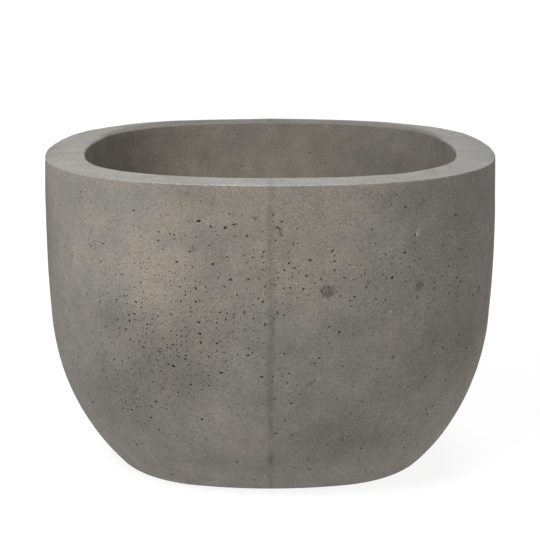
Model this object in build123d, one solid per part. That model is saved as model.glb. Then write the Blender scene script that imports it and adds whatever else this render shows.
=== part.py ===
from build123d import *
import os
from math import asin, atan2, cos, degrees, radians, sin, sqrt, tan

# Cast-concrete planter box. Millimetres and degrees, +Z up.
# The tub is modelled with its underside at z = 0, then every piece is raised by pad_proud, so that
# the rubber pads rest on z = 0. X = Y = 0 is the middle of the plan.

# Plan of the rim: a rounded square of eight tangent arcs, four long side arcs and four corner arcs
half_width = 450.0
side_radius = 770.0
corner_radius = 347.0

# Outer wall, from the rim down: a slightly crowned wall, then an arc that turns in to the base
tub_height = 614.0
crown_height = 455.0
crown_radius = 2700.0
turn_height = 291.0
lower_radius = 470.0

# Rim, planting space and floor
rim_width = 76.0
core_draft = 1.2
floor_thickness = 85.0
floor_fillet = 60.0
outer_rim_edge = 1.5
inner_rim_edge = 4.0
base_edge = 10.0
slab_inset = 240.0

# Rubber pads let into the underside
pad_radius = 40.0
pad_depth = 5.0
pad_proud = 3.0
pad_spread = 190.0
pad_chamfer = 1.0
pad_groove_radii = (16.0, 28.0)
pad_groove_width = 4.0
pad_groove_depth = 1.5

# Drain sleeve cast into the floor, and the domed strainer that stands in its socket
sleeve_bore = 26.0
sleeve_wall = 4.0
socket_bore = 41.0
socket_depth = 24.0
ledge_thickness = 4.0
strainer_clearance = 0.5
strainer_rim_width = 6.0
strainer_thickness = 3.5
strainer_dome_rise = 26.0
strainer_slots = 12
strainer_slot_width = 5.0
strainer_hub = 9.0
strainer_lift_ring = 2.0

# Threaded lifting ferrules cast into the floor
ferrule_spread = 130.0
ferrule_radius = 12.0
ferrule_length = 55.0
ferrule_foot_radius = 18.0
ferrule_foot_thickness = 6.0
ferrule_bore = 7.0
ferrule_bore_depth = 42.0
ferrule_mouth_chamfer = 1.5

# Reinforcement: round bars tied into a basket
bar_radius = 5.0
hoop_depth = 32.0
upright_depth = 43.0
hoop_heights = (560.0, 450.0, 340.0, 230.0, 120.0)
upright_top = 575.0
leg_height = 40.0
leg_bend = 40.0
side_leg_length = 110.0
corner_leg_length = 60.0
side_bar_angle = 5.5
corner_bar_angle = 19.0
layer_step = 11.0
floor_bar_places = (-200.0, -75.0, 75.0, 200.0)
floor_bar_half_lengths = (285.0, 315.0, 315.0, 285.0)
chair_place = 100.0
chair_foot_radius = 20.0
chair_head_radius = 9.0
chair_wall = 3.0


# Worked-out places. Offsets are measured inward from the rim outline.
crown_bulge = crown_radius - sqrt(crown_radius**2 - (tub_height - crown_height) ** 2)
turn_angle = asin((crown_height - turn_height) / crown_radius)
turn_offset = crown_radius * (1 - cos(turn_angle)) - crown_bulge
lower_centre_offset = turn_offset + lower_radius * cos(turn_angle)
lower_centre_height = turn_height + lower_radius * sin(turn_angle)
base_offset = lower_centre_offset - sqrt(lower_radius**2 - lower_centre_height**2)
draft = radians(core_draft)
core_rise = tub_height - lower_centre_height
core_radius = (lower_centre_offset - rim_width - core_rise * tan(draft)) * cos(draft)
fillet_height = floor_thickness + floor_fillet
fillet_drop = lower_centre_height - fillet_height
fillet_offset = lower_centre_offset - sqrt((core_radius - floor_fillet) ** 2 - fillet_drop**2)
socket_floor = floor_thickness - socket_depth
floor_bar_x_height = leg_height + layer_step
floor_bar_y_height = floor_bar_x_height + layer_step

# Plan centres of the side and corner arcs
side_centre = half_width - side_radius
arc_gap = side_radius - corner_radius
corner_centre = (side_centre + sqrt(2 * arc_gap**2 - side_centre**2)) / 2
side_half_angle = degrees(atan2(corner_centre, corner_centre - side_centre))


def plan_arcs():
    """Each arc of the rim outline as its centre, radius, start angle and size."""
    arcs = []
    for quarter in range(4):
        turn = 90.0 * quarter
        side = Vector(side_centre, 0).rotate(Axis.Z, turn)
        corner = Vector(corner_centre, corner_centre).rotate(Axis.Z, turn)
        corner_size = 90.0 - 2 * side_half_angle
        arcs.append((side, side_radius, turn - side_half_angle, 2 * side_half_angle))
        arcs.append((corner, corner_radius, turn + side_half_angle, corner_size))
    return arcs


def around_outline(section_of):
    """Carry a section, made for each arc's radius, all the way round the rim outline."""
    ring = None
    for centre, radius, start, size in plan_arcs():
        wedge = revolve(section_of(radius), Axis.Z, size)
        wedge = Pos(centre.X, centre.Y) * Rot(0, 0, start) * wedge
        ring = wedge if ring is None else ring + wedge
    return ring


def outline_face(offset):
    """The plan outline, moved inward by offset, as a flat face."""
    edges = []
    for centre, radius, start, size in plan_arcs():
        edges.append(CenterArc((centre.X, centre.Y), radius - offset, start, size))
    return make_face(edges)


def arc_point(centre, radius, angle):
    """A point of an arc in the wall section, angle measured down from the outward horizontal."""
    return (centre[0] + radius * cos(angle), centre[1] - radius * sin(angle))


def wall_section(radius):
    """The closed section of wall and floor edge, for an outline arc of this radius."""
    lower_centre = (radius - lower_centre_offset, lower_centre_height)
    crown_centre = (radius + crown_bulge - crown_radius, crown_height)
    fillet_centre = (radius - fillet_offset, fillet_height)
    rim_angle = -asin((tub_height - crown_height) / crown_radius)
    base_angle = asin(lower_centre_height / lower_radius)
    fillet_angle = asin(fillet_drop / (core_radius - floor_fillet))

    slab_bottom = (radius - slab_inset, 0)
    base_corner = arc_point(lower_centre, lower_radius, base_angle)
    turn_point = arc_point(lower_centre, lower_radius, turn_angle)
    rim_outer = arc_point(crown_centre, crown_radius, rim_angle)
    rim_inner = (radius - rim_width, tub_height)
    core_top = arc_point(lower_centre, core_radius, draft)
    core_bottom = arc_point(lower_centre, core_radius, fillet_angle)
    floor_edge = (radius - fillet_offset, floor_thickness)
    slab_top = (radius - slab_inset, floor_thickness)

    lower_middle = arc_point(lower_centre, lower_radius, (base_angle + turn_angle) / 2)
    crown_middle = arc_point(crown_centre, crown_radius, (turn_angle + rim_angle) / 2)
    core_middle = arc_point(lower_centre, core_radius, (draft + fillet_angle) / 2)
    fillet_middle = arc_point(fillet_centre, floor_fillet, (fillet_angle + radians(90)) / 2)
    edges = [
        Line(slab_bottom, base_corner),
        ThreePointArc(base_corner, lower_middle, turn_point),
        ThreePointArc(turn_point, crown_middle, rim_outer),
        Line(rim_outer, rim_inner),
        Line(rim_inner, core_top),
        ThreePointArc(core_top, core_middle, core_bottom),
        ThreePointArc(core_bottom, fillet_middle, floor_edge),
        Line(floor_edge, slab_top),
        Line(slab_top, slab_bottom),
    ]
    face = make_face(edges)
    edge_radii = ((base_corner, base_edge), (rim_outer, outer_rim_edge), (rim_inner, inner_rim_edge))
    for corner, edge_radius in edge_radii:
        vertex = face.vertices().sort_by_distance((corner[0], corner[1], 0))[0]
        face = fillet(vertex, edge_radius)
    return Plane.XZ * face


def revolved(points):
    """A solid of revolution about Z, from (radius, height) corners of its half section."""
    return revolve(Plane.XZ * make_face(Polyline(*points, close=True)), Axis.Z)


def standing_cylinder(radius, height):
    """A cylinder about Z that stands on z = 0."""
    return Cylinder(radius, height, align=(Align.CENTER, Align.CENTER, Align.MIN))


def four_corners(spread):
    return [(spread, spread), (-spread, spread), (-spread, -spread), (spread, -spread)]


def drain_sleeve():
    outer = sleeve_bore + sleeve_wall
    socket_outer = socket_bore + sleeve_wall
    ledge_bottom = socket_floor - ledge_thickness
    points = [
        (sleeve_bore, 0),
        (outer, 0),
        (outer, ledge_bottom),
        (socket_outer, ledge_bottom),
        (socket_outer, floor_thickness),
        (socket_bore, floor_thickness),
        (socket_bore, socket_floor),
        (sleeve_bore, socket_floor),
    ]
    return revolved(points)


def drain_pocket():
    """What the drain sleeve fills in the concrete, its bore included."""
    pipe = standing_cylinder(sleeve_bore + sleeve_wall, floor_thickness)
    socket_height = socket_depth + ledge_thickness
    socket = standing_cylinder(socket_bore + sleeve_wall, socket_height)
    return pipe + Pos(0, 0, socket_floor - ledge_thickness) * socket


def drain_strainer():
    """A domed strainer: flat rim, dome with radial slots, and a small pull ring on its hub."""
    rim_outer = socket_bore - strainer_clearance
    dome_foot = rim_outer - strainer_rim_width
    dome_radius = (dome_foot**2 + strainer_dome_rise**2) / (2 * strainer_dome_rise)
    centre_height = strainer_dome_rise - dome_radius
    inner_radius = dome_radius - strainer_thickness
    outer_ball = Pos(0, 0, centre_height) * Sphere(dome_radius)
    inner_ball = Pos(0, 0, centre_height) * Sphere(inner_radius)
    above = standing_cylinder(rim_outer, strainer_dome_rise * 2)
    disc = standing_cylinder(rim_outer, strainer_thickness)
    body = (outer_ball & above) + disc - inner_ball
    slot_length = dome_foot - 2 * strainer_thickness - strainer_hub
    slot_start = strainer_hub + slot_length / 2
    for index in range(strainer_slots):
        slot = SlotOverall(slot_length, strainer_slot_width)
        cutter = Pos(slot_start, 0, 0) * extrude(slot, strainer_dome_rise * 2)
        body = body - Rot(0, 0, 360.0 * index / strainer_slots) * cutter
    ring_height = strainer_dome_rise + strainer_hub / 2
    lift_ring = Torus(strainer_hub - strainer_lift_ring, strainer_lift_ring)
    lift_ring = Pos(0, 0, ring_height) * Rot(90, 0, 0) * lift_ring
    return Pos(0, 0, socket_floor) * (body + lift_ring)


def ferrule_body(bore):
    foot_height = floor_thickness - ferrule_length
    outer = standing_cylinder(ferrule_radius, ferrule_length)
    foot = standing_cylinder(ferrule_foot_radius, ferrule_foot_thickness)
    body = Pos(0, 0, foot_height) * (outer + foot)
    if bore:
        mouth = ferrule_bore + ferrule_mouth_chamfer
        bottom = floor_thickness - ferrule_bore_depth
        points = [
            (0, bottom),
            (ferrule_bore, bottom),
            (ferrule_bore, floor_thickness - ferrule_mouth_chamfer),
            (mouth, floor_thickness),
            (0, floor_thickness),
        ]
        body = body - revolved(points)
    return body


def base_pad():
    """A round pad: its upper part fills a pocket in the underside, its lower face is grooved."""
    points = [
        (0, -pad_proud),
        (pad_radius - pad_chamfer, -pad_proud),
        (pad_radius, pad_chamfer - pad_proud),
        (pad_radius, pad_depth),
        (0, pad_depth),
    ]
    body = revolved(points)
    for groove_radius in pad_groove_radii:
        ring = Cylinder(groove_radius + pad_groove_width / 2, pad_groove_depth)
        ring = ring - Cylinder(groove_radius - pad_groove_width / 2, pad_groove_depth)
        body = body - Pos(0, 0, pad_groove_depth / 2 - pad_proud) * ring
    return body


def planter_shell():
    """The concrete tub, with its pockets for the drain, ferrules and pads."""
    tub = around_outline(wall_section) + extrude(outline_face(slab_inset), floor_thickness)
    tub = tub - drain_pocket()
    for x, y in four_corners(ferrule_spread):
        tub = tub - Pos(x, y) * ferrule_body(bore=False)
    pocket = standing_cylinder(pad_radius, pad_depth)
    for x, y in four_corners(pad_spread):
        tub = tub - Pos(x, y) * pocket
    return tub


def buried_offset(height, depth):
    """How far inside the rim outline a line runs that stays depth below the wall's surface."""
    radius = lower_radius - depth
    if height >= lower_centre_height:
        return lower_centre_offset - radius
    return lower_centre_offset - sqrt(radius**2 - (lower_centre_height - height) ** 2)


def wall_hoop(height):
    offset = buried_offset(height, hoop_depth)

    def section(radius):
        return Plane.XZ * Pos(radius - offset, height) * Circle(bar_radius)

    return around_outline(section)


def upright_bar(radius, leg_length):
    """A bar down the wall, round its lower curve and bent into the floor, for an arc of this radius."""
    bar_arc = lower_radius - upright_depth
    arc_centre = (radius - lower_centre_offset, lower_centre_height)
    bend_start = asin((lower_centre_height - leg_height - leg_bend) / (bar_arc - leg_bend))
    top = (arc_centre[0] + bar_arc, upright_top)
    arc_top = arc_point(arc_centre, bar_arc, 0)
    arc_middle = arc_point(arc_centre, bar_arc, bend_start / 2)
    arc_bottom = arc_point(arc_centre, bar_arc, bend_start)
    bend_centre = arc_point(arc_bottom, -leg_bend, bend_start)
    bend_middle = arc_point(bend_centre, leg_bend, (bend_start + radians(90)) / 2)
    bend_end = (bend_centre[0], bend_centre[1] - leg_bend)
    leg_end = (bend_end[0] - leg_length, bend_end[1])
    edges = [
        Line(top, arc_top),
        ThreePointArc(arc_top, arc_middle, arc_bottom),
        ThreePointArc(arc_bottom, bend_middle, bend_end),
        Line(bend_end, leg_end),
    ]
    path = Plane.XZ * Wire(edges)
    section = Plane(origin=path @ 0, z_dir=path % 0) * Circle(bar_radius)
    return sweep(section, path)


def upright_bars():
    """Two bars at each side and two at each corner, as a list for the sides and one for the corners."""
    sides = []
    corners = []
    for centre, radius, start, size in plan_arcs():
        on_side = radius == side_radius
        leg_length = side_leg_length if on_side else corner_leg_length
        swing = side_bar_angle if on_side else corner_bar_angle
        for sign in (-1, 1):
            angle = start + size / 2 + sign * swing
            bar = Pos(centre.X, centre.Y) * Rot(0, 0, angle) * upright_bar(radius, leg_length)
            (sides if on_side else corners).append(bar)
    return sides, corners


def floor_bar(place, half_length, height, turn):
    bar = Rot(0, 90, 0) * Cylinder(bar_radius, 2 * half_length)
    return Rot(0, 0, turn) * Pos(0, place, height) * bar


def bar_chair():
    """A hollow cone that stands on the mould and carries a floor bar in its saddle."""
    saddle = floor_bar_x_height
    head = saddle - bar_radius / 2
    points = [
        (chair_foot_radius - chair_wall, 0),
        (chair_foot_radius, 0),
        (chair_head_radius, head),
        (chair_head_radius - chair_wall, head),
    ]
    seat = Pos(0, 0, saddle) * Rot(0, 90, 0) * Cylinder(bar_radius, 2 * chair_foot_radius)
    return revolved(points) - seat


def all_nodes():
    """Every piece of the planter by name, at its place."""
    nodes = {"planter_shell": planter_shell()}
    nodes["drain_sleeve"] = drain_sleeve()
    nodes["drain_strainer"] = drain_strainer()
    for number, (x, y) in enumerate(four_corners(ferrule_spread), 1):
        nodes[f"lifting_ferrule_{number}"] = Pos(x, y) * ferrule_body(bore=True)
    for number, (x, y) in enumerate(four_corners(pad_spread), 1):
        nodes[f"base_pad_{number}"] = Pos(x, y) * base_pad()
    for number, height in enumerate(hoop_heights, 1):
        nodes[f"wall_hoop_{number}"] = wall_hoop(height)
    sides, corners = upright_bars()
    for number, bar in enumerate(sides, 1):
        nodes[f"side_bar_{number}"] = bar
    for number, bar in enumerate(corners, 1):
        nodes[f"corner_bar_{number}"] = bar
    rows = list(zip(floor_bar_places, floor_bar_half_lengths))
    for number, (place, half_length) in enumerate(rows, 1):
        nodes[f"floor_bar_x_{number}"] = floor_bar(place, half_length, floor_bar_x_height, 0)
        nodes[f"floor_bar_y_{number}"] = floor_bar(place, half_length, floor_bar_y_height, 90)
    chair_spots = [(x, y) for x in (-chair_place, chair_place) for y in floor_bar_places[1:3]]
    for number, (x, y) in enumerate(chair_spots, 1):
        nodes[f"bar_chair_{number}"] = Pos(x, y) * bar_chair()
    return nodes


os.makedirs("parts", exist_ok=True)
for name, piece in all_nodes().items():
    export_step(Pos(0, 0, pad_proud) * piece, f"parts/{name}.step")
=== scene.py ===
import math
import random

import bpy
import numpy as np
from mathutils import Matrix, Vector, noise


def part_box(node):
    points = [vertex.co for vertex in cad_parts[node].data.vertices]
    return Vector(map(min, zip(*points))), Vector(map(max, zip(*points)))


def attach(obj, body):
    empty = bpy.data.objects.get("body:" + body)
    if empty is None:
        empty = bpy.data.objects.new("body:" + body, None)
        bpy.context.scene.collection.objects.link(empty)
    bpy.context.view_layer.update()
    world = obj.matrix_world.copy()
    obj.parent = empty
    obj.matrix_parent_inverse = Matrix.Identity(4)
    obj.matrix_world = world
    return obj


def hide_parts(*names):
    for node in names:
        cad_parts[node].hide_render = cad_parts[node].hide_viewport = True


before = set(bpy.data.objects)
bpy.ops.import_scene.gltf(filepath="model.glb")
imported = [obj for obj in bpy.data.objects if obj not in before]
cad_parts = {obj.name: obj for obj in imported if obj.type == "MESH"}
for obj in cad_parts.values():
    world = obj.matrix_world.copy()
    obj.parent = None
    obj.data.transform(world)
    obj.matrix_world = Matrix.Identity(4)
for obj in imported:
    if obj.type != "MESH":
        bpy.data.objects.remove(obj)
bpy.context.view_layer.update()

# ---------------------------------------------------------------- sizes, in metres and radians
# The concrete tub: the same plan and section as the CAD shell that this mesh stands for
SHELL_LOW, SHELL_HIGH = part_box("planter_shell")
UNDERSIDE_Z = SHELL_LOW.z
RIM_Z = SHELL_HIGH.z
HALF_WIDTH = 0.450
SIDE_RADIUS = 0.770
CORNER_RADIUS = 0.347
CROWN_Z = UNDERSIDE_Z + 0.455
CROWN_RADIUS = 2.700
TURN_Z = UNDERSIDE_Z + 0.291
LOWER_RADIUS = 0.470
RIM_WIDTH = 0.076
CORE_DRAFT = math.radians(1.2)
FLOOR_Z = UNDERSIDE_Z + 0.085
FLOOR_FILLET = 0.060
OUTER_RIM_EDGE = 0.0015
INNER_RIM_EDGE = 0.004
BASE_EDGE = 0.010
# Rows of points this far beyond a rounded edge keep the flat face beside it flat
EDGE_SUPPORT = 0.0012
OUTER_SUPPORT = 0.0006

# Pockets in the tub for the pieces cast into it or fitted to it, with a hair of clearance
HAIR = 0.0001
LEDGE_Z = UNDERSIDE_Z + 0.057
PIPE_RADIUS = 0.030 + HAIR
SOCKET_RADIUS = 0.045 + HAIR
FERRULE_SPREAD = 0.130
FERRULE_RADIUS = 0.012 + HAIR
FERRULE_PROFILE = ((1, 0.049), (1.5, 0.049), (1.5, 0.055 + HAIR))
PAD_SPREAD = 0.190
PAD_RADIUS = 0.040 + HAIR
PAD_PROFILE = ((1, 0.005),)

# Mesh spacing, and how much of it the outer wall's points are slid by at random
WALL_STEP = 0.0092
INNER_STEP = 0.015
FLAT_STEP = 0.021
EDGE_STEP = 0.0009
LIP_STEP = 0.0018
FOOT_STEP = 0.003
LOOSE = 0.33

# The mould seam down the middle of the front and the back: a groove with a low lip on each side.
# Its line wanders by SEAM_WOBBLE, in a slow and a quick wobble (features per metre, seed, share) that
# differ from seam to seam, and the grid's columns follow it out to SEAM_REACH.
SEAM_COLUMNS = (-0.0040, -0.0022, -0.0012, -0.0005, 0.0005, 0.0012, 0.0022, 0.0040)
SEAM_GROOVE = 0.00016
GROOVE_WIDTH = 0.0010
SEAM_LIP = 0.00012
LIP_PLACE = 0.0026
LIP_WIDTH = 0.0014
SEAM_WOBBLE = 0.0034
WOBBLES = ((9.0, 1.7, 1.0), (46.0, 8.1, 0.35))
SEAMS_APART = 5.3
SEAM_REACH = 0.030

# Slow unevenness of the cast faces, as feature size and height, with less of it on the rim, and
# small chips out of the edges, where a noise of CHIP_SIZE stands above CHIP_START
WAVES = ((0.24, 0.0010), (0.050, 0.00028))
RIM_WAVES = 0.5
CHIP_SIZE = 0.021
CHIP_DEPTH = 0.0016
CHIP_START = 0.42

# Air holes left by the casting: share of all holes, smallest and largest width
HOLE_SIZES = (
    (0.50, 0.0022, 0.0030),
    (0.34, 0.0030, 0.0042),
    (0.145, 0.0042, 0.0056),
    (0.015, 0.0056, 0.0064),
)
# Their lean (mean and spread), how much longer than wide they are, how many stand together and
# within how many cells, and how many there are
HOLE_LEAN = (math.radians(-40), math.radians(32))
LONGEST_HOLE = 0.0070
HOLE_STRETCHES = (1.0, 1.3, 1.7, 2.1, 2.7)
BUNCH_SIZES = (1, 1, 1, 2, 3)
BUNCH_REACH = 2
FRONT_HOLES = 950
OTHER_HOLES = 560
INNER_HOLES = 110
RIM_HOLES = INNER_HOLES // 4
# How likely they are anywhere on the front, and where it has more of them:
# middle X, middle Z, half width, half height, weight
STRAY_WEIGHT = 0.028
FRONT_CLUSTERS = (
    (-0.180, 0.375, 0.110, 0.075, 1.0),
    (-0.110, 0.320, 0.065, 0.050, 1.0),
    (0.050, 0.445, 0.100, 0.026, 0.5),
    (0.200, 0.450, 0.120, 0.030, 0.35),
    (0.270, 0.400, 0.040, 0.060, 0.30),
    (-0.230, 0.240, 0.050, 0.070, 0.7),
    (-0.150, 0.530, 0.060, 0.035, 0.12),
    (-0.040, 0.530, 0.045, 0.035, 0.25),
)

SEED = 41
draw = random.Random(SEED)


# ---------------------------------------------------------------- plan outline of the rim
SIDE_CENTRE = HALF_WIDTH - SIDE_RADIUS
ARC_GAP = SIDE_RADIUS - CORNER_RADIUS
CORNER_CENTRE = (SIDE_CENTRE + math.sqrt(2 * ARC_GAP**2 - SIDE_CENTRE**2)) / 2
SIDE_HALF_ANGLE = math.atan2(CORNER_CENTRE, CORNER_CENTRE - SIDE_CENTRE)


def plan_arcs():
    """The outline's arcs from the middle of the front, anticlockwise: centre, radius, start, size."""
    arcs = []
    for quarter in range(4):
        facing = math.pi / 2 * (quarter - 1)
        out = np.array([math.cos(facing), math.sin(facing)])
        left = np.array([-out[1], out[0]])
        corner = (out + left) * CORNER_CENTRE
        corner_start = facing + SIDE_HALF_ANGLE
        corner_end = facing + math.pi / 2 - SIDE_HALF_ANGLE
        arcs.append((out * SIDE_CENTRE, SIDE_RADIUS, facing, SIDE_HALF_ANGLE))
        arcs.append((corner, CORNER_RADIUS, corner_start, math.pi / 2 - 2 * SIDE_HALF_ANGLE))
        arcs.append((left * SIDE_CENTRE, SIDE_RADIUS, corner_end, SIDE_HALF_ANGLE))
    return arcs


ARCS = plan_arcs()
ARC_CENTRES = np.array([arc[0] for arc in ARCS])
ARC_RADII, ARC_STARTS, ARC_SIZES = np.array([arc[1:] for arc in ARCS]).T
ARC_ENDS = np.cumsum(ARC_RADII * ARC_SIZES)
OUTLINE_LENGTH = float(ARC_ENDS[-1])


def outline_points(along, offset):
    """Plan points at these lengths along the rim outline, moved inward by offset."""
    along = np.mod(along, OUTLINE_LENGTH)
    arc = np.minimum(np.searchsorted(ARC_ENDS, along, side="right"), len(ARCS) - 1)
    run = along - ARC_ENDS[arc] + ARC_RADII[arc] * ARC_SIZES[arc]
    angle = ARC_STARTS[arc] + run / ARC_RADII[arc]
    out = np.stack([np.cos(angle), np.sin(angle)], -1)
    return ARC_CENTRES[arc] + (ARC_RADII[arc] - offset)[:, None] * out


# ---------------------------------------------------------------- wall section, as offset inward and Z
CROWN_BULGE = CROWN_RADIUS - math.sqrt(CROWN_RADIUS**2 - (RIM_Z - CROWN_Z) ** 2)
TURN_ANGLE = math.asin((CROWN_Z - TURN_Z) / CROWN_RADIUS)
TURN_OFFSET = CROWN_RADIUS * (1 - math.cos(TURN_ANGLE)) - CROWN_BULGE
LOWER_OFFSET = TURN_OFFSET + LOWER_RADIUS * math.cos(TURN_ANGLE)
LOWER_Z = TURN_Z + LOWER_RADIUS * math.sin(TURN_ANGLE)
CORE_DROP = (RIM_Z - LOWER_Z) * math.tan(CORE_DRAFT)
CORE_RADIUS = (LOWER_OFFSET - RIM_WIDTH - CORE_DROP) * math.cos(CORE_DRAFT)


def slope_at(height, radius):
    """The angle below level at which the lower arc's radius reaches this height."""
    return -math.asin((LOWER_Z - height) / radius)


def arc_rows(offset, height, radius, start, end, step):
    """Section points on an arc, from start to end: 0 is outward and pi / 2 is up."""
    count = max(3, round(abs(end - start) * radius / step) + 1)
    angles = np.linspace(start, end, count)
    return [(offset - radius * math.cos(a), height + radius * math.sin(a)) for a in angles]


def line_rows(start, end, step):
    """Section points on a straight line, from start to end."""
    count = max(2, round(math.dist(start, end) / step) + 1)
    return [tuple(point) for point in np.linspace(start, end, count)]


def section_rows():
    """The section from the foot, up the outside, over the rim and down to the floor, zone by zone."""
    foot_z = UNDERSIDE_Z + BASE_EDGE
    foot_slope = slope_at(foot_z, LOWER_RADIUS - BASE_EDGE)
    foot_offset = LOWER_OFFSET - (LOWER_RADIUS - BASE_EDGE) * math.cos(foot_slope)
    top = math.asin((RIM_Z - OUTER_RIM_EDGE - OUTER_SUPPORT - CROWN_Z) / CROWN_RADIUS)
    inner_edge = RIM_WIDTH - INNER_RIM_EDGE
    inner_edge_z = RIM_Z - INNER_RIM_EDGE
    core_top = LOWER_OFFSET - CORE_RADIUS * math.cos(CORE_DRAFT)
    core_top_z = LOWER_Z - CORE_RADIUS * math.sin(CORE_DRAFT)
    fillet_z = FLOOR_Z + FLOOR_FILLET
    fillet_slope = slope_at(fillet_z, CORE_RADIUS - FLOOR_FILLET)
    fillet_offset = LOWER_OFFSET - (CORE_RADIUS - FLOOR_FILLET) * math.cos(fillet_slope)
    crown_offset = CROWN_RADIUS - CROWN_BULGE
    edge_z = RIM_Z - OUTER_RIM_EDGE
    rim_start = (OUTER_RIM_EDGE + OUTER_SUPPORT, RIM_Z)
    rim_end = (inner_edge - EDGE_SUPPORT, RIM_Z)
    core_start = (RIM_WIDTH + HAIR, inner_edge_z - EDGE_SUPPORT)
    quarter = math.pi / 2
    lip_end = math.pi - CORE_DRAFT
    foot = arc_rows(foot_offset, foot_z, BASE_EDGE, -quarter, foot_slope, FOOT_STEP)
    lower = arc_rows(LOWER_OFFSET, LOWER_Z, LOWER_RADIUS, foot_slope, -TURN_ANGLE, WALL_STEP)
    crown = arc_rows(crown_offset, CROWN_Z, CROWN_RADIUS, -TURN_ANGLE, top, WALL_STEP)
    edge = arc_rows(OUTER_RIM_EDGE, edge_z, OUTER_RIM_EDGE, 0, quarter, EDGE_STEP)
    lip = arc_rows(inner_edge, inner_edge_z, INNER_RIM_EDGE, quarter, lip_end, LIP_STEP)
    core = arc_rows(LOWER_OFFSET, LOWER_Z, CORE_RADIUS, -CORE_DRAFT, fillet_slope, INNER_STEP)
    fillet = arc_rows(fillet_offset, fillet_z, FLOOR_FILLET, fillet_slope, -quarter, INNER_STEP)
    zones = (
        ("foot", foot),
        ("wall", lower[1:] + crown[1:]),
        ("edge", edge),
        ("rim", line_rows(rim_start, rim_end, WALL_STEP)),
        ("lip", lip),
        ("inner", line_rows(core_start, (core_top, core_top_z), INNER_STEP) + core[1:] + fillet[1:]),
    )
    return [(offset, height, zone) for zone, rows in zones for offset, height in rows]


# ---------------------------------------------------------------- the tub's grid of points
# From a seam's last column to the first plain one
SEAM_MARGIN = 0.003


def column_places():
    """Lengths along the outline: close together at the two seams and a wall step apart elsewhere."""
    half = OUTLINE_LENGTH / 2
    first = SEAM_COLUMNS[-1] + SEAM_MARGIN
    plain = np.linspace(first, half - first, round((half - 2 * first) / WALL_STEP) + 1)
    return np.concatenate([SEAM_COLUMNS, plain, half + np.array(SEAM_COLUMNS), half + plain])


def flat_rings(ring, radius, height, shares):
    """Level rings between an outline ring and a circle about Z; share 1 is the circle."""
    plan = ring[:, :2]
    circle = plan / np.linalg.norm(plan, axis=1)[:, None] * radius
    level = np.full(len(plan), height)
    return [np.column_stack([plan * (1 - share) + circle * share, level]) for share in shares]


def seam_wander(height, seam):
    """How far sideways the seam line stands at this height."""
    wobble = 0.0
    for per_metre, seed, share in WOBBLES:
        wobble += share * noise.noise(Vector((height * per_metre, seam * SEAMS_APART, seed)))
    return SEAM_WOBBLE * wobble


def tub_grid():
    """Rings of points round the closed section, each ring's zone, and each column's way from a seam."""
    places = column_places()
    half = OUTLINE_LENGTH / 2
    from_seam = (places + half / 2) % half - half / 2
    near = np.clip(1 - np.abs(from_seam) / SEAM_REACH, 0, 1)
    seam = np.round(places / half).astype(int) % 2
    rings = []
    zones = []
    for offset, height, zone in section_rows():
        wander = np.zeros(2)
        if zone in ("foot", "wall", "edge", "rim"):
            wander = np.array([seam_wander(height, 0), seam_wander(height, 1)])
        plan = outline_points(places + wander[seam] * near, np.full(len(places), offset))
        rings.append(np.column_stack([plan, np.full(len(plan), height)]))
        zones.append(zone)
    reach = np.linalg.norm(rings[0][:, :2], axis=1).min()
    shares = np.linspace(1, 0, round((reach - PIPE_RADIUS) / FLAT_STEP) + 1)[:-1]
    under = flat_rings(rings[0], PIPE_RADIUS, UNDERSIDE_Z, shares)
    reach = np.linalg.norm(rings[-1][:, :2], axis=1).min()
    shares = np.linspace(0, 1, round((reach - SOCKET_RADIUS) / FLAT_STEP) + 1)[1:]
    floor = flat_rings(rings[-1], SOCKET_RADIUS, FLOOR_Z, shares)
    pocket = flat_rings(rings[-1], SOCKET_RADIUS, LEDGE_Z, (1,))
    pocket += flat_rings(rings[-1], PIPE_RADIUS, LEDGE_Z, (1,))
    zones = ["under"] * len(under) + zones + ["floor"] * len(floor) + ["pocket"] * len(pocket)
    return np.array(under + rings + floor + pocket), np.array(zones), from_seam


def grid_normals(points):
    """Outward unit normals of the closed grid."""
    across = np.roll(points, -1, axis=1) - np.roll(points, 1, axis=1)
    along = np.roll(points, -1, axis=0) - np.roll(points, 1, axis=0)
    normal = np.cross(across, along)
    return normal / np.maximum(np.linalg.norm(normal, axis=2), 1e-12)[..., None]


def cloudy(points, size, seed, octaves=3):
    """Smooth noise of about -1 to 1 at each point, with features of about this size."""
    shift = Vector((seed * 7.31, seed * 3.17, seed * 5.71))
    flat = points.reshape(-1, 3) / size
    values = [noise.fractal(Vector(point) + shift, 0.6, 2.0, octaves) for point in flat]
    return np.array(values).reshape(points.shape[:-1])


def loosen(points, zones, from_seam):
    """Slides the outer wall's points along the surface, so that no rows show in what is cut there."""
    spread = np.random.default_rng(SEED)
    across = np.roll(points, -1, axis=1) - np.roll(points, 1, axis=1)
    along = np.roll(points, -1, axis=0) - np.roll(points, 1, axis=0)
    slide = spread.uniform(-LOOSE / 2, LOOSE / 2, (2, *points.shape[:2], 1))
    wall = zones == "wall"
    steady = np.roll(wall, 1) & wall & np.roll(wall, -1)
    free = steady[:, None] & (np.abs(from_seam) > SEAM_COLUMNS[-1] + WALL_STEP)[None, :]
    return points + (slide[0] * across + slide[1] * along) * free[..., None]


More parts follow.
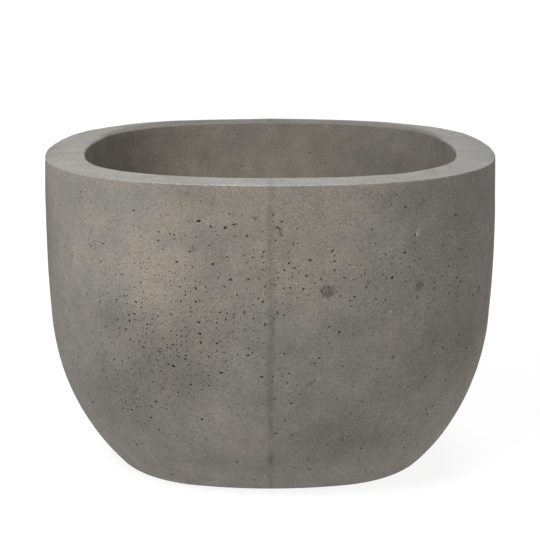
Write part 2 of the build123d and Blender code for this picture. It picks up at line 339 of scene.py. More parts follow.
def weather(points, zones, from_seam):
    """Moves the points a little, as a cast surface is uneven, grooved at its seams and chipped."""
    normals = grid_normals(points)
    height = np.zeros(points.shape[:2])
    for seed, (size, tall) in enumerate(WAVES, start=1):
        height += tall * cloudy(points, size, seed)
    cast = np.isin(zones, ("wall", "edge", "rim", "lip", "inner")).astype(float)
    cast[zones == "rim"] = RIM_WAVES
    height *= cast[:, None]
    outside = np.isin(zones, ("foot", "wall", "edge", "rim"))[:, None]
    depth = 1 + 0.6 * cloudy(points, 0.03, 5)
    groove = SEAM_GROOVE * np.exp(-((from_seam / GROOVE_WIDTH) ** 2))
    lip = SEAM_LIP * np.exp(-(((np.abs(from_seam) - LIP_PLACE) / LIP_WIDTH) ** 2))
    height += outside * (lip - groove) * np.clip(depth, 0.2, 2)
    chipped = np.isin(zones, ("edge", "lip", "foot"))[:, None]
    height -= chipped * CHIP_DEPTH * np.clip(cloudy(points, CHIP_SIZE, 9, 2) - CHIP_START, 0, 1)
    return points + normals * height[..., None]


# ---------------------------------------------------------------- the tub's mesh, with its holes
# A hole's rim stays within this share of the way to its block's edge
WIDEST_SHARE = 0.86


class TubMesh:
    """A grid mesh that holes can be punched in: a hole takes a block of cells and rings replace them."""

    def __init__(self, points):
        self.grid = points
        self.normals = grid_normals(points)
        self.rows, self.columns = points.shape[:2]
        self.whole = np.ones((self.rows, self.columns), bool)
        self.points = list(points.reshape(-1, 3))
        self.pit = [0.0] * len(self.points)
        self.nearby = list(range(len(self.points)))
        self.on_edge = set()
        self.faces = []

    def index(self, row, column):
        """A grid point's number: both ways round, the grid closes on itself."""
        return row % self.rows * self.columns + column % self.columns

    def is_free(self, row, column, height, width):
        """Whether no hole has taken any cell of this block."""
        return self.whole[row:row + height, np.arange(column, column + width) % self.columns].all()

    def block_loop(self, row, column, height, width):
        """The block's corner and edge points, anticlockwise from outside."""
        low = [(row, column + i) for i in range(width)]
        right = [(row + i, column + width) for i in range(height)]
        high = [(row + height, column + width - i) for i in range(width)]
        left = [(row + height - i, column) for i in range(height)]
        return [self.index(*place) for place in low + right + high + left]

    def add_ring(self, ring, pit, nearby):
        """Adds points, with the grid point near each one that its shade is taken from."""
        first = len(self.points)
        self.points.extend(ring)
        self.pit.extend([pit] * len(ring))
        self.nearby.extend(nearby)
        return list(range(first, len(self.points)))

    def join(self, outer, inner):
        """Faces between two closed rings of as many points."""
        for i, here in enumerate(outer):
            after = (i + 1) % len(outer)
            self.faces.append((here, outer[after], inner[after], inner[i]))

    def punch(self, row, column, height, width, centre, reach, profile, pit=0.0, cone=0.0):
        """Cuts a hole: reach(angle) is its radius and profile lists each deeper ring's scale and depth."""
        self.whole[row:row + height, np.arange(column, column + width) % self.columns] = False
        loop = self.block_loop(row, column, height, width)
        normal = self.normals[row + height // 2, (column + width // 2) % self.columns]
        across = self.grid[row, (column + width) % self.columns] - self.grid[row, column % self.columns]
        across = across - normal * (across @ normal)
        across /= np.linalg.norm(across)
        up = np.cross(normal, across)
        rim = []
        for i, here in enumerate(loop):
            after = loop[(i + 1) % len(loop)]
            for target in (self.points[here], (self.points[here] + self.points[after]) / 2):
                way = target - centre
                angle = math.atan2(way @ up, way @ across)
                share = min(reach(angle) / np.linalg.norm(way), WIDEST_SHARE)
                rim.append(centre + way * share)
        nearby = [here for here in loop for _ in range(2)]
        ring = self.add_ring(rim, 0.0, nearby)
        self.on_edge.update(ring)
        for i, here in enumerate(loop):
            after = loop[(i + 1) % len(loop)]
            left, middle, right = ring[2 * i], ring[2 * i + 1], ring[(2 * i + 2) % len(ring)]
            self.faces += [(here, after, middle), (here, middle, left), (after, right, middle)]
        for scale, depth in profile:
            deeper = [centre + (point - centre) * scale - normal * depth for point in rim]
            inner = self.add_ring(deeper, pit, nearby)
            self.join(ring, inner)
            ring = inner
        bottom = self.add_ring([centre - normal * (profile[-1][1] + cone)], pit, loop[:1])[0]
        self.faces += [(ring[i], ring[(i + 1) % len(ring)], bottom) for i in range(len(ring))]

    def all_faces(self):
        """The grid's cells that are still whole, and the holes' own faces."""
        rows, columns = np.nonzero(self.whole)
        grid = [
            (self.index(r, c), self.index(r, c + 1), self.index(r + 1, c + 1), self.index(r + 1, c))
            for r, c in zip(rows.tolist(), columns.tolist())
        ]
        return grid + self.faces


# A pocket takes the cells within this many radii of its centre
POCKET_REACH = 1.25


def cut_round_pocket(tub, row_limits, centre, radius, profile):
    """Cuts an exact round pocket in a level face: its block is the cells near the centre."""
    first, last = row_limits
    flat = tub.grid[first:last, :, :2] - np.array(centre[:2])
    near = np.linalg.norm(flat, axis=2) < radius * POCKET_REACH
    rows = np.nonzero(near.any(axis=1))[0] + first
    columns = np.nonzero(near.any(axis=0))[0]
    height, width = rows[-1] - rows[0] + 2, columns[-1] - columns[0] + 2

    def reach(angle):
        return radius

    tub.punch(rows[0] - 1, columns[0] - 1, height, width, np.array(centre), reach, profile)


def cut_pockets(tub, zones):
    """The four pads' recesses in the underside and the four ferrules' pockets in the floor."""
    under = np.nonzero(zones == "under")[0]
    floor = np.nonzero(zones == "floor")[0]
    for x in (-1, 1):
        for y in (-1, 1):
            pad = (x * PAD_SPREAD, y * PAD_SPREAD, UNDERSIDE_Z)
            ferrule = (x * FERRULE_SPREAD, y * FERRULE_SPREAD, FLOOR_Z)
            cut_round_pocket(tub, (under[0], under[-1]), pad, PAD_RADIUS, PAD_PROFILE)
            cut_round_pocket(tub, (floor[0], floor[-1]), ferrule, FERRULE_RADIUS, FERRULE_PROFILE)


# A bowl's depth, in halves of its width. Its wall takes a share of that, down to a narrower floor,
# and a cone takes the rest. Holes longer than ONE_CELL take a block of two by two cells.
BOWL_DEPTHS = (1.0, 1.7)
BOWL_WALL = 0.62
BOWL_FLOOR = 0.86
ONE_CELL = 0.0052
# Its outline bulges this many times round, by LOBE_LEAST to LOBE_MOST over that number
LOBES = (2, 3, 4)
LOBE_LEAST = 0.05
LOBE_MOST = 0.36
# Its centre roams this far from the block's middle, in blocks: a tiny hole the most, a long one less
ROAM_MOST = 0.46
ROAM_LEAST = 0.12
ROAM_LOSS = 0.62


def cut_air_hole(tub, row, column):
    """One irregular bowl in the block of cells at this row and column, if it is still whole."""
    share = draw.random()
    for portion, small, large in HOLE_SIZES:
        if share < portion:
            break
        share -= portion
    size = draw.uniform(small, large)
    stretch = min(draw.choice(HOLE_STRETCHES), (LONGEST_HOLE / size) ** 2)
    lean = draw.gauss(*HOLE_LEAN)
    lobes = [(k, draw.uniform(0, 2 * math.pi), draw.uniform(LOBE_LEAST, LOBE_MOST / k)) for k in LOBES]
    cells = 1 if size * stretch < ONE_CELL else 2
    if not tub.is_free(row, column, cells, cells):
        return False
    left, right = column % tub.columns, (column + cells) % tub.columns
    roam = max(ROAM_LEAST, ROAM_MOST - ROAM_LOSS * size * stretch**0.5 / (cells * WALL_STEP))
    across, up = (0.5 + draw.uniform(-roam, roam) for _ in range(2))
    low = tub.grid[row, left] * (1 - across) + tub.grid[row, right] * across
    high = tub.grid[row + cells, left] * (1 - across) + tub.grid[row + cells, right] * across
    centre = low * (1 - up) + high * up
    long, short = size / 2 * math.sqrt(stretch), size / 2 / math.sqrt(stretch)

    def reach(angle):
        turn = angle - lean
        plain = long * short / math.hypot(short * math.cos(turn), long * math.sin(turn))
        return plain * (1 + sum(tall * math.cos(k * angle + phase) for k, phase, tall in lobes))

    depth = short * draw.uniform(*BOWL_DEPTHS)
    wall = depth * BOWL_WALL
    profile = ((BOWL_FLOOR, wall),)
    tub.punch(row, column, cells, cells, centre, reach, profile, pit=1.0, cone=depth - wall)
    return True


def front_weight(point):
    """How likely an air hole is at this point of the front."""
    weight = STRAY_WEIGHT
    for x, z, wide, tall, amount in FRONT_CLUSTERS:
        weight += amount * math.exp(-(((point[0] - x) / wide) ** 2) - ((point[2] - z) / tall) ** 2)
    return weight


# Off the front: the weight between the clouds of holes and in them, and the clouds' noise
BETWEEN_CLOUDS = 0.12
IN_CLOUDS = 0.9
CLOUD_START = -0.25
CLOUDS_PER_METRE = 7.0
CLOUD_SHIFT = Vector((3.1, 8.2, 4.4))


def cloud_weight(point):
    """How likely an air hole is elsewhere: they gather in loose clouds."""
    cloud = noise.noise(Vector(point) * CLOUDS_PER_METRE + CLOUD_SHIFT)
    return BETWEEN_CLOUDS + IN_CLOUDS * max(0.0, cloud - CLOUD_START)


def scatter_holes(tub, rows, columns, count, weight):
    """Punches count air holes among these rows and columns, more of them where weight is high."""
    made = 0
    for _ in range(count * 40):
        if made >= count:
            break
        row = draw.randrange(len(rows))
        column = draw.randrange(len(columns))
        if draw.random() > weight(tub.grid[rows[row], columns[column]]):
            continue
        for _ in range(draw.choice(BUNCH_SIZES)):
            near_row = min(max(row + draw.randint(-BUNCH_REACH, BUNCH_REACH), 0), len(rows) - 1)
            near_column = (column + draw.randint(-BUNCH_REACH, BUNCH_REACH)) % len(columns)
            made += cut_air_hole(tub, rows[near_row], columns[near_column])


# The outer wall counts as the front where Y is below this
FRONT_Y = -0.20


def cut_air_holes(tub, zones, from_seam):
    """Air holes all over: away from the seams' columns, and most of them on the front."""
    to_seam = np.minimum(np.abs(from_seam), np.abs(np.roll(from_seam, -2)))
    plain = np.nonzero(to_seam > SEAM_COLUMNS[-1])[0].tolist()
    wall = np.nonzero(zones == "wall")[0][2:-2].tolist()
    place = tub.grid[wall[-1], :, 1]
    is_front = [column for column in plain if place[column] < FRONT_Y]
    is_other = [column for column in plain if place[column] >= FRONT_Y]
    inner = np.nonzero(zones == "inner")[0][1:-8].tolist()
    rim = np.nonzero(zones == "rim")[0][1:-2].tolist()
    scatter_holes(tub, wall, is_front, FRONT_HOLES, front_weight)
    scatter_holes(tub, wall, is_other, OTHER_HOLES, cloud_weight)
    scatter_holes(tub, inner, plain, INNER_HOLES, cloud_weight)
    scatter_holes(tub, rim, plain, RIM_HOLES, cloud_weight)


def mesh_object(name, points, faces, body):
    """A new piece of the visual model, which rides on a body."""
    mesh = bpy.data.meshes.new(name)
    mesh.from_pydata([tuple(point) for point in points], [], faces)
    mesh.validate()
    mesh.update()
    piece = bpy.data.objects.new(name, mesh)
    bpy.context.scene.collection.objects.link(piece)
    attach(piece, body)
    return piece


def store(mesh, name, values):
    """Keeps one number for each point, for the material to read."""
    attribute = mesh.attributes.new(name, "FLOAT", "POINT")
    attribute.data.foreach_set("value", np.asarray(values, np.float32))


# Slow changes of shade and warmth: middle X, middle Z, half width, half height, shade, warmth. On the
# front they are partly the concrete's mottled tone and partly painted shade, as at the darker left and
# right ends and the darker bottom right.
FRONT_SHADES = (
    (-0.240, 0.470, 0.120, 0.085, 0.12, 0.4),
    (-0.105, 0.480, 0.035, 0.060, -0.11, -0.2),
    (0.060, 0.440, 0.075, 0.060, 0.09, 0.5),
    (-0.190, 0.330, 0.130, 0.045, -0.17, 0.0),
    (-0.080, 0.170, 0.090, 0.060, 0.15, 0.1),
    (0.120, 0.140, 0.065, 0.045, -0.16, -0.1),
    (0.230, 0.585, 0.080, 0.040, -0.10, -0.3),
    (-0.120, 0.600, 0.110, 0.022, -0.09, 0.3),
    (0.140, 0.355, 0.050, 0.030, -0.11, -0.1),
    (0.020, 0.560, 0.160, 0.060, 0.00, 0.8),
    (-0.150, 0.420, 0.160, 0.080, 0.00, 0.5),
    (-0.455, 0.480, 0.036, 0.180, -0.30, 0.0),
    (0.455, 0.460, 0.030, 0.180, -0.15, 0.0),
    (0.160, 0.100, 0.170, 0.070, -0.07, 0.0),
    (-0.288, 0.368, 0.050, 0.035, -0.17, 0.0),
    (-0.159, 0.266, 0.070, 0.030, -0.17, 0.0),
    (0.370, 0.270, 0.035, 0.070, -0.20, 0.0),
    (-0.260, 0.220, 0.080, 0.070, -0.16, 0.0),
    (0.200, 0.130, 0.100, 0.040, -0.06, 0.0),
    (-0.100, 0.130, 0.090, 0.060, 0.06, 0.0),
    (0.400, 0.510, 0.040, 0.040, 0.07, 0.0),
    (0.440, 0.560, 0.060, 0.080, -0.08, 0.0),
)
# Inside, the lighter middle and left of the back wall is painted light, the darker back-right wall painted
# shade, and the small dark blot a stain
INSIDE_SHADES = (
    (0.000, 0.500, 0.160, 0.120, 0.24, 0.8),
    (-0.230, 0.500, 0.110, 0.120, 0.24, 0.6),
    (0.270, 0.500, 0.120, 0.200, -0.10, 0.2),
    (-0.160, 0.545, 0.020, 0.020, -0.22, 0.2),
)


def blots(points, shades, where):
    """The shade and warmth that a list of soft blots adds at each point."""
    total = np.zeros((2, *points.shape[:-1]))
    for x, z, wide, tall, shade, warmth in shades:
        away = ((points[..., 0] - x) / wide) ** 2 + ((points[..., 2] - z) / tall) ** 2
        total += np.array([shade, warmth])[:, None, None] * np.exp(-away) * where
    return total


# Slow clouds in the shade (amount, size, seed) and in the warmth
SHADE_CLOUDS = ((0.07, 0.13, 21), (0.045, 0.045, 22))
WARM_CLOUD = 0.4
WARM_CLOUD_SIZE = 0.18
# Shade and warmth of whole areas, as shares of the plain concrete's
INSIDE_MOTTLE = 0.10
MOTTLE_SIZE = 0.035
INSIDE_WARMTH = 0.35
# Painted shade: the back rim's inner margin is darkened as far as the inside, and the rim's lighter shade
# and colour fade off it
FAR_RIM_DARKER = 0.24
FAR_RIM_FADE = 0.75
# Painted shade: the rim darker towards its right end
RIGHT_RIM_DARKER = 0.05
RIGHT_RIM_X = 0.25
RIGHT_RIM_BLUR = 0.10
# The concrete is a little darker on the seam's right, round the middle of its height
SEAM_STEP = 0.06
STEP_WIDTH = 0.045
STEP_Z = 0.30
STEP_HEIGHT = 0.13
# Front and back shades give way to each other over this much of Y
FRONT_BLUR = 0.2
BACK_BLUR = 0.15
# The back rim's painted shade, as a share of the rim's width: it starts here, is straight this far from
# the middle, narrows over the turn beyond, and its edge is blurred. Along Y it comes in behind the Y set
# below.
BACK_SHADE_START = 0.1
BACK_SHADE_STRAIGHT = 0.20
BACK_SHADE_TURN = 0.18
BACK_SHADE_BLUR = 0.22
BACK_SHADE_Y = 0.10
BACK_SHADE_Y_BLUR = 0.08
# The rim's outer edge carries a painted highlight for this far to each side of the middle
EDGE_GLINT = 0.27


def far_share(points, zones):
    """1 on the inner margin of the back rim, which painted shade makes as dark as the inside, and 0
    elsewhere.
    """
    inward = np.select([zones == "edge", zones == "rim", zones == "lip"], [0.0, 0.5, 1.0])
    rows = np.nonzero(zones == "rim")[0]
    inward[rows] = np.linspace(0, 1, len(rows))
    turn = np.clip(np.abs(points[..., 0]) - BACK_SHADE_STRAIGHT, 0, BACK_SHADE_TURN) / BACK_SHADE_TURN
    bound = BACK_SHADE_START + (1 - BACK_SHADE_START) * turn**2
    behind = np.clip((points[..., 1] - BACK_SHADE_Y) / BACK_SHADE_Y_BLUR, 0, 1)
    return behind * np.clip((inward[:, None] - bound) / BACK_SHADE_BLUR + 0.5, 0, 1)


def tone_painted_shade_and_warmth(points, zones, from_seam):
    """The slow shade and warmth at each grid point: the concrete's mottled tone and warmth, with painted
    shade and painted light from the blots, the back rim and the rim's right end.
    """
    shade = sum(amount * cloudy(points, size, seed) for amount, size, seed in SHADE_CLOUDS)
    total = np.array([shade, WARM_CLOUD * cloudy(points, WARM_CLOUD_SIZE, 23)])
    inner = (zones == "inner")[:, None]
    front = np.clip(0.5 - points[..., 1] / FRONT_BLUR, 0, 1)
    back = np.clip(points[..., 1] / BACK_BLUR, 0, 1)
    total += blots(points, FRONT_SHADES, front * ~inner)
    total += blots(points, INSIDE_SHADES, back * inner)
    total[0] += inner * INSIDE_MOTTLE * cloudy(points, MOTTLE_SIZE, 24)
    total[1] += inner * INSIDE_WARMTH
    top = np.isin(zones, ("edge", "rim", "lip"))[:, None]
    # Painted shade on the back rim's inner margin
    total[0] -= top * FAR_RIM_DARKER * far_share(points, zones)
    # Painted shade towards the rim's right end
    total[0] -= top * RIGHT_RIM_DARKER * np.clip((points[..., 0] - RIGHT_RIM_X) / RIGHT_RIM_BLUR, 0, 1)
    step = np.clip(from_seam / GROOVE_WIDTH, 0, 1) * np.exp(-np.abs(from_seam) / STEP_WIDTH)
    step = step * (points[..., 1] < 0) * ~inner
    total[0] -= SEAM_STEP * step * np.exp(-(((points[..., 2] - STEP_Z) / STEP_HEIGHT) ** 4))
    return {"tone_and_painted_shade": total[0], "warm": total[1]}


def surface_values(points, zones, from_seam):
    """What the concrete's material reads at each grid point, by attribute name."""

    def within(*names):
        return np.isin(zones, names)[:, None].astype(float)

    near_seam = np.clip(1 - np.abs(from_seam) / SEAM_REACH, 0, 1)
    values = {
        "seam": near_seam[None, :] * within("foot", "wall", "edge", "rim"),
        # A painted highlight along the middle of the rim's outer edge
        "edge": within("edge") * np.exp(-((points[..., 0] / EDGE_GLINT) ** 2)),
        # The rim's painted light and its colour, faded on the back rim's inner margin as part of its
        # painted shade
        "rim": within("rim", "edge", "lip") * (1 - FAR_RIM_FADE * far_share(points, zones)),
        # Marks the inside, which the material darkens as painted shade and gives less grain
        "inside": within("inner", "floor") * np.ones(points.shape[:2]),
    }
    values.update(tone_painted_shade_and_warmth(points, zones, from_seam))
    return values


def shade_smooth(mesh, sharp_points):
    """Smooth shading, but for sharp edges round the holes, where both ends are sharp points."""
    flags = np.zeros(len(mesh.vertices), bool)
    flags[list(sharp_points)] = True
    ends = np.zeros(len(mesh.edges) * 2, int)
    mesh.edges.foreach_get("vertices", ends)
    sharp = flags[ends.reshape(-1, 2)].all(axis=1)
    mesh.attributes.new("sharp_edge", "BOOLEAN", "EDGE").data.foreach_set("value", sharp)
    mesh.polygons.foreach_set("use_smooth", np.ones(len(mesh.polygons), bool))


def build_tub():
    """The cast concrete tub as one closed mesh, which stands for the CAD shell."""
    points, zones, from_seam = tub_grid()
    points = loosen(points, zones, from_seam)
    tub = TubMesh(weather(points, zones, from_seam))
    cut_pockets(tub, zones)
    cut_air_holes(tub, zones, from_seam)
    piece = mesh_object("tub_cast_surface", tub.points, tub.all_faces(), "tub")
    mesh = piece.data
    # The air holes' inner points get pit 1, which the material darkens as painted shade inside the holes
    store(mesh, "pit", tub.pit)
    for name, value in surface_values(tub.grid, zones, from_seam).items():
        store(mesh, name, value.ravel()[tub.nearby])
    shade_smooth(mesh, tub.on_edge)
    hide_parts("planter_shell")
    return piece


# ---------------------------------------------------------------- materials
class Graph:
    """Short names for the shader nodes that the materials here are made of."""

    def __init__(self, name):
        self.material = bpy.data.materials.new(name)
        self.material.use_nodes = True
        self.tree = self.material.node_tree
        self.shader = self.tree.nodes["Principled BSDF"]
        self.place = self.tree.nodes.new("ShaderNodeTexCoord").outputs["Object"]

    def put(self, socket, value):
        if isinstance(value, bpy.types.NodeSocket):
            self.tree.links.new(value, socket)
        else:
            socket.default_value = value

    def math(self, operation, *values, clamp=False):
        node = self.tree.nodes.new("ShaderNodeMath")
        node.operation = operation
        node.use_clamp = clamp
        for socket, value in zip(node.inputs, values):
            self.put(socket, value)
        return node.outputs[0]

    def stretched(self, scale):
        """Object coordinates scaled by (x, y, z)."""
        node = self.tree.nodes.new("ShaderNodeVectorMath")
        node.operation = "MULTIPLY"
        self.put(node.inputs[0], self.place)
        node.inputs[1].default_value = scale
        return node.outputs[0]

    def noise(self, size, detail=3.0, roughness=0.55, vector=None, seed=0.0):
        """Noise of 0 to 1 with features of this size in metres."""
        node = self.tree.nodes.new("ShaderNodeTexNoise")
        node.noise_dimensions = "4D"
        self.put(node.inputs["Vector"], vector or self.place)
        node.inputs["W"].default_value = seed
        node.inputs["Scale"].default_value = 1 / size
        node.inputs["Detail"].default_value = detail
        node.inputs["Roughness"].default_value = roughness
        return node.outputs["Fac"]

    def specks(self, spacing, largest, share, seed=0.0):
        """Round spots of 0 to 1, of random width up to largest, in a share of the cells."""
        shifted = self.tree.nodes.new("ShaderNodeVectorMath")
        self.put(shifted.inputs[0], self.place)
        shifted.inputs[1].default_value = (seed, seed * 0.7, seed * 0.3)
        node = self.tree.nodes.new("ShaderNodeTexVoronoi")
        self.put(node.inputs["Vector"], shifted.outputs[0])
        node.inputs["Scale"].default_value = 1 / spacing
        apart = self.tree.nodes.new("ShaderNodeSeparateColor")
        self.tree.links.new(node.outputs["Color"], apart.inputs[0])
        chosen = self.fit(apart.outputs[0], 1 - share, 1, 0.15, 1)
        width = self.math("MULTIPLY", chosen, largest / spacing / 2)
        inside = self.math("SUBTRACT", width, node.outputs["Distance"])
        return self.fit(inside, 0, 0.25 * largest / spacing, 0, 1)

    def smear(self, x, z, wide, tall, lean, seed, shade):
        """The shade inside an irregular patch on the front at x, z, and 1 outside it."""
        node = self.tree.nodes.new("ShaderNodeMapping")
        node.vector_type = "TEXTURE"
        self.put(node.inputs["Vector"], self.place)
        node.inputs["Location"].default_value = (x, -HALF_WIDTH, z)
        node.inputs["Rotation"].default_value = (0, lean, 0)
        node.inputs["Scale"].default_value = (wide, HALF_WIDTH, tall)
        length = self.tree.nodes.new("ShaderNodeVectorMath")
        length.operation = "LENGTH"
        self.tree.links.new(node.outputs[0], length.inputs[0])
        ragged = self.fit(self.noise(0.012, 4, 0.65, seed=seed), 0.3, 0.7, -0.4, 0.4)
        return self.fit(self.math("ADD", length.outputs["Value"], ragged), 0.86, 1.04, shade, 1)

    def fit(self, value, low, high, new_low=0.0, new_high=1.0):
        node = self.tree.nodes.new("ShaderNodeMapRange")
        for socket, number in zip(node.inputs, (value, low, high, new_low, new_high)):
            self.put(socket, number)
        return node.outputs[0]

    def attribute(self, name):
        node = self.tree.nodes.new("ShaderNodeAttribute")
        node.attribute_name = name
        return node.outputs["Fac"]

    def mix(self, share, first, second):
        node = self.tree.nodes.new("ShaderNodeMix")
        node.data_type = "RGBA"
        for index, value in ((0, share), (6, first), (7, second)):
            self.put(node.inputs[index], value)
        return node.outputs[2]

    def scaled(self, colour, amount):
        """A colour times a number."""
        node = self.tree.nodes.new("ShaderNodeVectorMath")
        node.operation = "SCALE"
        self.put(node.inputs[0], colour[:3] if isinstance(colour, tuple) else colour)
        self.put(node.inputs["Scale"], amount)
        return node.outputs[0]

    def bump(self, height, distance, normal=None):
        node = self.tree.nodes.new("ShaderNodeBump")
        self.put(node.inputs["Height"], height)
        node.inputs["Distance"].default_value = distance
        if normal:
            self.put(node.inputs["Normal"], normal)
        return node.outputs["Normal"]

    def finish(self, colour, roughness, normal=None, metallic=0.0, specular=0.5):
        self.put(self.shader.inputs["Base Color"], colour)
        self.put(self.shader.inputs["Roughness"], roughness)
        self.shader.inputs["Metallic"].default_value = metallic
        self.shader.inputs["Specular IOR Level"].default_value = specular
        if normal:
            self.put(self.shader.inputs["Normal"], normal)
        return self.material


def rgb(red, green, blue):
    return (red, green, blue, 1.0)


# The concrete's two plain colours and the rim's, and the areas that an attribute marks: the value at
# which each one's shade starts, and the shade. The rim's lift is painted light on its top face, the
# edge's a painted highlight, and the inside's and the air holes' darkening painted shade.
CONCRETE = rgb(0.193, 0.182, 0.165)
CONCRETE_WARM = rgb(0.211, 0.187, 0.155)
CONCRETE_RIM = rgb(0.194, 0.187, 0.175)
AREA_SHADES = {"rim": (0, 1.22), "edge": (0.3, 1.42), "inside": (0, 0.92), "pit": (0, 0.56)}
# The seam's line, band and blots: where the seam attribute starts and ends each, the size, seed and
# limits of the noise that breaks it up, and its shade
SEAM_STAINS = (
    (0.80, 0.97, 0.030, 4, 0.28, 0.46, 0.91),
    (0.60, 0.86, 0.060, 5, 0.34, 0.54, 0.88),
    (0.74, 0.92, 0.014, 6, 0.50, 0.62, 0.85),
)
# Pinholes too small for the mesh and pale grains: spacing, greatest width, share of the cells that
# have one, seed and shade; and the pinholes' depth against the skin's roughness
# The pinholes' darker shade is painted shade inside them; the pale grains are the concrete's own colour
PINHOLES = ((0.0060, 0.0034, 0.30, 7.0, 0.58), (0.0046, 0.0032, 0.60, 11.0, 0.75))
PALE_GRAINS = ((0.0050, 0.0034, 0.50, 17.0, 1.24), (0.0070, 0.0036, 0.40, 23.0, 1.20))
PINHOLE_DEPTH = 1.1
# Dark smears on the front: middle X, middle Z, half width, half height, lean, noise seed, shade
SMEARS = (
    (0.101, 0.429, 0.0145, 0.0115, math.radians(-20), 51.0, 0.67),
    (0.100, 0.423, 0.0120, 0.0040, math.radians(8), 52.0, 0.80),
    (0.266, 0.426, 0.0072, 0.0112, math.radians(25), 53.0, 0.64),
)


def cast_concrete():
    """Raw concrete: mottled, stained and pitted, with painted shade and painted light, as the tub's
    attributes say where.
    """
    g = Graph("cast_concrete")
    rawness = g.fit(g.attribute("inside"), 0, 1, 1, 0.4)
    cloud = g.noise(0.050, 4, 0.6, seed=1)
    mottle = g.fit(cloud, 0.3, 0.7, 0.92, 1.08)
    curd = g.fit(g.noise(0.014, 3, 0.6, seed=2), 0.3, 0.7, 0.975, 1.025)
    grain = g.fit(g.noise(0.0031, 1, 0.7, seed=3), 0.28, 0.72, 0.79, 1.21)
    grain = g.math("ADD", g.math("MULTIPLY", grain, rawness), g.math("SUBTRACT", 1.0, rawness))
    streak = g.fit(g.noise(1.0, 3, 0.5, g.stretched((34, 34, 4)), seed=4), 0.3, 0.7, 0.975, 1.025)
    level = g.math("MULTIPLY", g.math("MULTIPLY", mottle, curd), g.math("MULTIPLY", grain, streak))
    # This attribute holds the concrete's mottled tone together with painted shade and painted light
    level = g.math("MULTIPLY", level, g.math("ADD", 1.0, g.attribute("tone_and_painted_shade")))
    # Painted light on the rim's top and a painted highlight on its edge; painted shade inside the tub and
    # in the air holes
    for name, (start, shade) in AREA_SHADES.items():
        level = g.math("MULTIPLY", level, g.fit(g.attribute(name), start, 1, 1, shade))

    seam = g.attribute("seam")
    for outer, inner, size, seed, low, high, shade in SEAM_STAINS:
        patches = g.fit(g.noise(size, 3, 0.6, seed=seed), low, high)
        stain = g.math("MULTIPLY", g.fit(seam, outer, inner), patches)
        level = g.math("MULTIPLY", level, g.fit(stain, 0, 1, 1, shade))
    for smear in SMEARS:
        level = g.math("MULTIPLY", level, g.smear(*smear))

    pinholes = [g.specks(*spots) for *spots, shade in PINHOLES]
    grains = [g.specks(*spots) for *spots, shade in PALE_GRAINS]
    # The pinholes' darkening is painted shade; the pale grains' lift is their own colour
    for spots, (*_, shade) in zip(pinholes + grains, PINHOLES + PALE_GRAINS):
        level = g.math("MULTIPLY", level, g.fit(spots, 0, 1, 1, shade))

    tint = g.fit(g.noise(0.085, 3, 0.6, seed=21), 0.35, 0.65, -0.3, 0.3)
    fleck = g.fit(g.noise(0.0060, 3, 0.6, seed=22), 0.30, 0.70, -0.55, 0.55)
    warm = g.math("ADD", g.attribute("warm"), g.fit(cloud, 0.35, 0.65, -0.15, 0.50))
    warm = g.math("ADD", warm, g.math("ADD", tint, fleck), clamp=True)
    colour = g.mix(warm, CONCRETE, CONCRETE_WARM)
    colour = g.mix(g.attribute("rim"), colour, CONCRETE_RIM)
    colour = g.scaled(colour, level)

    rough = g.fit(g.noise(0.02, 3, 0.6, seed=31), 0.3, 0.7, 0.82, 0.96)
    sunk = g.math("MULTIPLY", g.math("MAXIMUM", *pinholes), PINHOLE_DEPTH)
    skin = g.math("SUBTRACT", g.noise(0.0030, 4, 0.65, seed=41), sunk)
    normal = g.bump(skin, 0.0006)
    normal = g.bump(g.noise(0.012, 3, 0.6, seed=43), 0.0010, normal)
    return g.finish(colour, rough, normal, specular=0.35)


def plain_moulded(name, colour, roughness, grain_size, grain_height):
    """Moulded plastic or rubber: an even colour with slight wear and a fine skin."""
    g = Graph(name)
    wear = g.fit(g.noise(grain_size * 12, 3, seed=2), 0.3, 0.7, 0.88, 1.12)
    smoothest, roughest = roughness * 0.88, min(1, roughness * 1.12)
    rough = g.fit(g.noise(grain_size * 5, 3, seed=5), 0.3, 0.7, smoothest, roughest)
    normal = g.bump(g.noise(grain_size, 2, seed=9), grain_height)
    return g.finish(g.scaled(colour, wear), rough, normal)


def galvanised_steel():
    """Dull zinc with a faint spangle."""
    g = Graph("galvanised_steel")
    spangle = g.fit(g.noise(0.004, 2, seed=3), 0.35, 0.65, 0.80, 1.12)
    dull = g.fit(g.noise(0.012, 3, seed=4), 0.35, 0.65, 0.34, 0.56)
    colour = g.scaled(rgb(0.50, 0.51, 0.52), spangle)
    return g.finish(colour, dull, g.bump(g.noise(0.001), 0.00008), metallic=1.0)


def bar_steel():
    """Dark mill scale with patches of rust."""
    g = Graph("rusty_bar_steel")
    rust = g.fit(g.noise(0.010, 4, 0.65, seed=3), 0.42, 0.62)
    colour = g.mix(rust, rgb(0.085, 0.078, 0.074), rgb(0.170, 0.070, 0.030))
    rough = g.fit(rust, 0, 1, 0.5, 0.9)
    return g.finish(colour, rough, g.bump(g.noise(0.0015, 3), 0.0003), metallic=0.4)


GREY_PIPE = rgb(0.150, 0.155, 0.160)
BLACK_PLASTIC = rgb(0.022, 0.022, 0.023)
PAD_RUBBER = rgb(0.028, 0.027, 0.026)
GREY_PLASTIC = rgb(0.200, 0.200, 0.195)
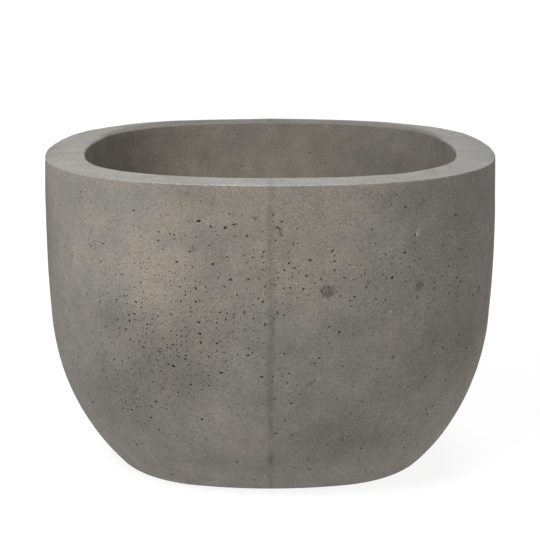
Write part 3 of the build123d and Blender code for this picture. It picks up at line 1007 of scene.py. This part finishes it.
# By the start of a node's name. The last three numbers: roughness, grain size and grain height
MATERIALS = {
    "planter_shell": cast_concrete(),
    "drain_sleeve": plain_moulded("grey_pipe_plastic", GREY_PIPE, 0.42, 0.0008, 0.00004),
    "drain_strainer": plain_moulded("black_strainer_plastic", BLACK_PLASTIC, 0.48, 0.0006, 0.00005),
    "lifting_ferrule": galvanised_steel(),
    "base_pad": plain_moulded("black_pad_rubber", PAD_RUBBER, 0.80, 0.0010, 0.00010),
    "bar_chair": plain_moulded("grey_chair_plastic", GREY_PLASTIC, 0.55, 0.0008, 0.00005),
}
BAR_MATERIAL = bar_steel()


def dress(piece, material):
    piece.data.materials.clear()
    piece.data.materials.append(material)


def dress_frame():
    """Gives every carried-over CAD node its material, by the name it begins with."""
    for name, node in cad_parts.items():
        found = [material for start, material in MATERIALS.items() if name.startswith(start)]
        dress(node, found[0] if found else BAR_MATERIAL)


# ---------------------------------------------------------------- floor, light and camera
# The floor lies a hair below the pads. It glows so as to stay nearly white, and fully so far away.
FLOOR_HALF = 9.0
FLOOR_GAP = 0.0003
FLOOR_WHITE = 0.20
FLOOR_GLOW = 0.88
FLOOR_NEAR = 0.9
FLOOR_FAR = 2.6
# Strength of the white surroundings where they are seen and where they light the object
SKY_SEEN = 1.05
SKY_LIGHT = 0.05
CAMERA_LENS = 84.6
CAMERA_DISTANCE = 2.588
CAMERA_RISE = 0.384
CAMERA_TILT = math.radians(14)
CAMERA_SIDE = -0.0008


def studio_floor():
    """A white floor that takes a faint shadow and fades into the white behind it."""
    mesh = bpy.data.meshes.new("studio_floor")
    ways = ((-1, -1), (1, -1), (1, 1), (-1, 1))
    corners = [(x * FLOOR_HALF, y * FLOOR_HALF, -FLOOR_GAP) for x, y in ways]
    mesh.from_pydata(corners, [], [(0, 1, 2, 3)])
    floor = bpy.data.objects.new("studio_floor", mesh)
    bpy.context.scene.collection.objects.link(floor)
    g = Graph("studio_white")
    away = g.tree.nodes.new("ShaderNodeVectorMath")
    away.operation = "LENGTH"
    g.put(away.inputs[0], g.place)
    glow = g.fit(away.outputs["Value"], FLOOR_NEAR, FLOOR_FAR, FLOOR_GLOW, 1.0)
    g.shader.inputs["Emission Color"].default_value = rgb(1, 1, 1)
    g.put(g.shader.inputs["Emission Strength"], glow)
    mesh.materials.append(g.finish(rgb(FLOOR_WHITE, FLOOR_WHITE, FLOOR_WHITE), 1.0, specular=0.0))


def white_room():
    """A world that looks white behind the object but lights it only softly."""
    world = bpy.data.worlds.new("white_room")
    world.use_nodes = True
    bpy.context.scene.world = world
    tree = world.node_tree
    background = tree.nodes["Background"]
    seen = tree.nodes.new("ShaderNodeLightPath").outputs["Is Camera Ray"]
    strength = tree.nodes.new("ShaderNodeMapRange")
    tree.links.new(seen, strength.inputs[0])
    strength.inputs[3].default_value = SKY_LIGHT
    strength.inputs[4].default_value = SKY_SEEN
    tree.links.new(strength.outputs[0], background.inputs["Strength"])
    background.inputs["Color"].default_value = rgb(1, 1, 1)


def soft_light(name, azimuth, elevation, distance, size, power):
    """An area light that looks at the tub: azimuth 0 is behind the camera and 90 is to the right."""
    light = bpy.data.lights.new(name, "AREA")
    light.shape = "DISK"
    light.size = size
    light.energy = power
    lamp = bpy.data.objects.new(name, light)
    bpy.context.scene.collection.objects.link(lamp)
    target = Vector((0, 0, RIM_Z * 0.6))
    turn, rise = math.radians(azimuth), math.radians(elevation)
    way = Vector((math.sin(turn) * math.cos(rise), -math.cos(turn) * math.cos(rise), math.sin(rise)))
    lamp.location = target + way * distance
    lamp.rotation_euler = (-way).to_track_quat("-Z", "Y").to_euler()


# Azimuth and elevation in degrees, distance and size in metres, power in watts
LIGHTS = {
    "key_light": (-36, 52, 3.0, 1.5, 105.0),
    "back_light": (150, 50, 3.0, 1.5, 48.0),
    "right_fill": (75, 30, 3.0, 1.8, 9.0),
}


def camera():
    """A camera in front of the tub and above its rim, which looks down a little."""
    view = bpy.data.objects.new("camera", bpy.data.cameras.new("camera"))
    view.data.lens = CAMERA_LENS
    view.data.sensor_width = 36.0
    view.location = (CAMERA_SIDE, -CAMERA_DISTANCE, RIM_Z + CAMERA_RISE)
    view.rotation_euler = (math.pi / 2 - CAMERA_TILT, 0, 0)
    bpy.context.scene.collection.objects.link(view)
    bpy.context.scene.camera = view


tub = build_tub()
dress(tub, MATERIALS["planter_shell"])
dress_frame()
studio_floor()
white_room()
for name, setting in LIGHTS.items():
    soft_light(name, *setting)
camera()
bpy.context.scene.view_settings.view_transform = "Standard"
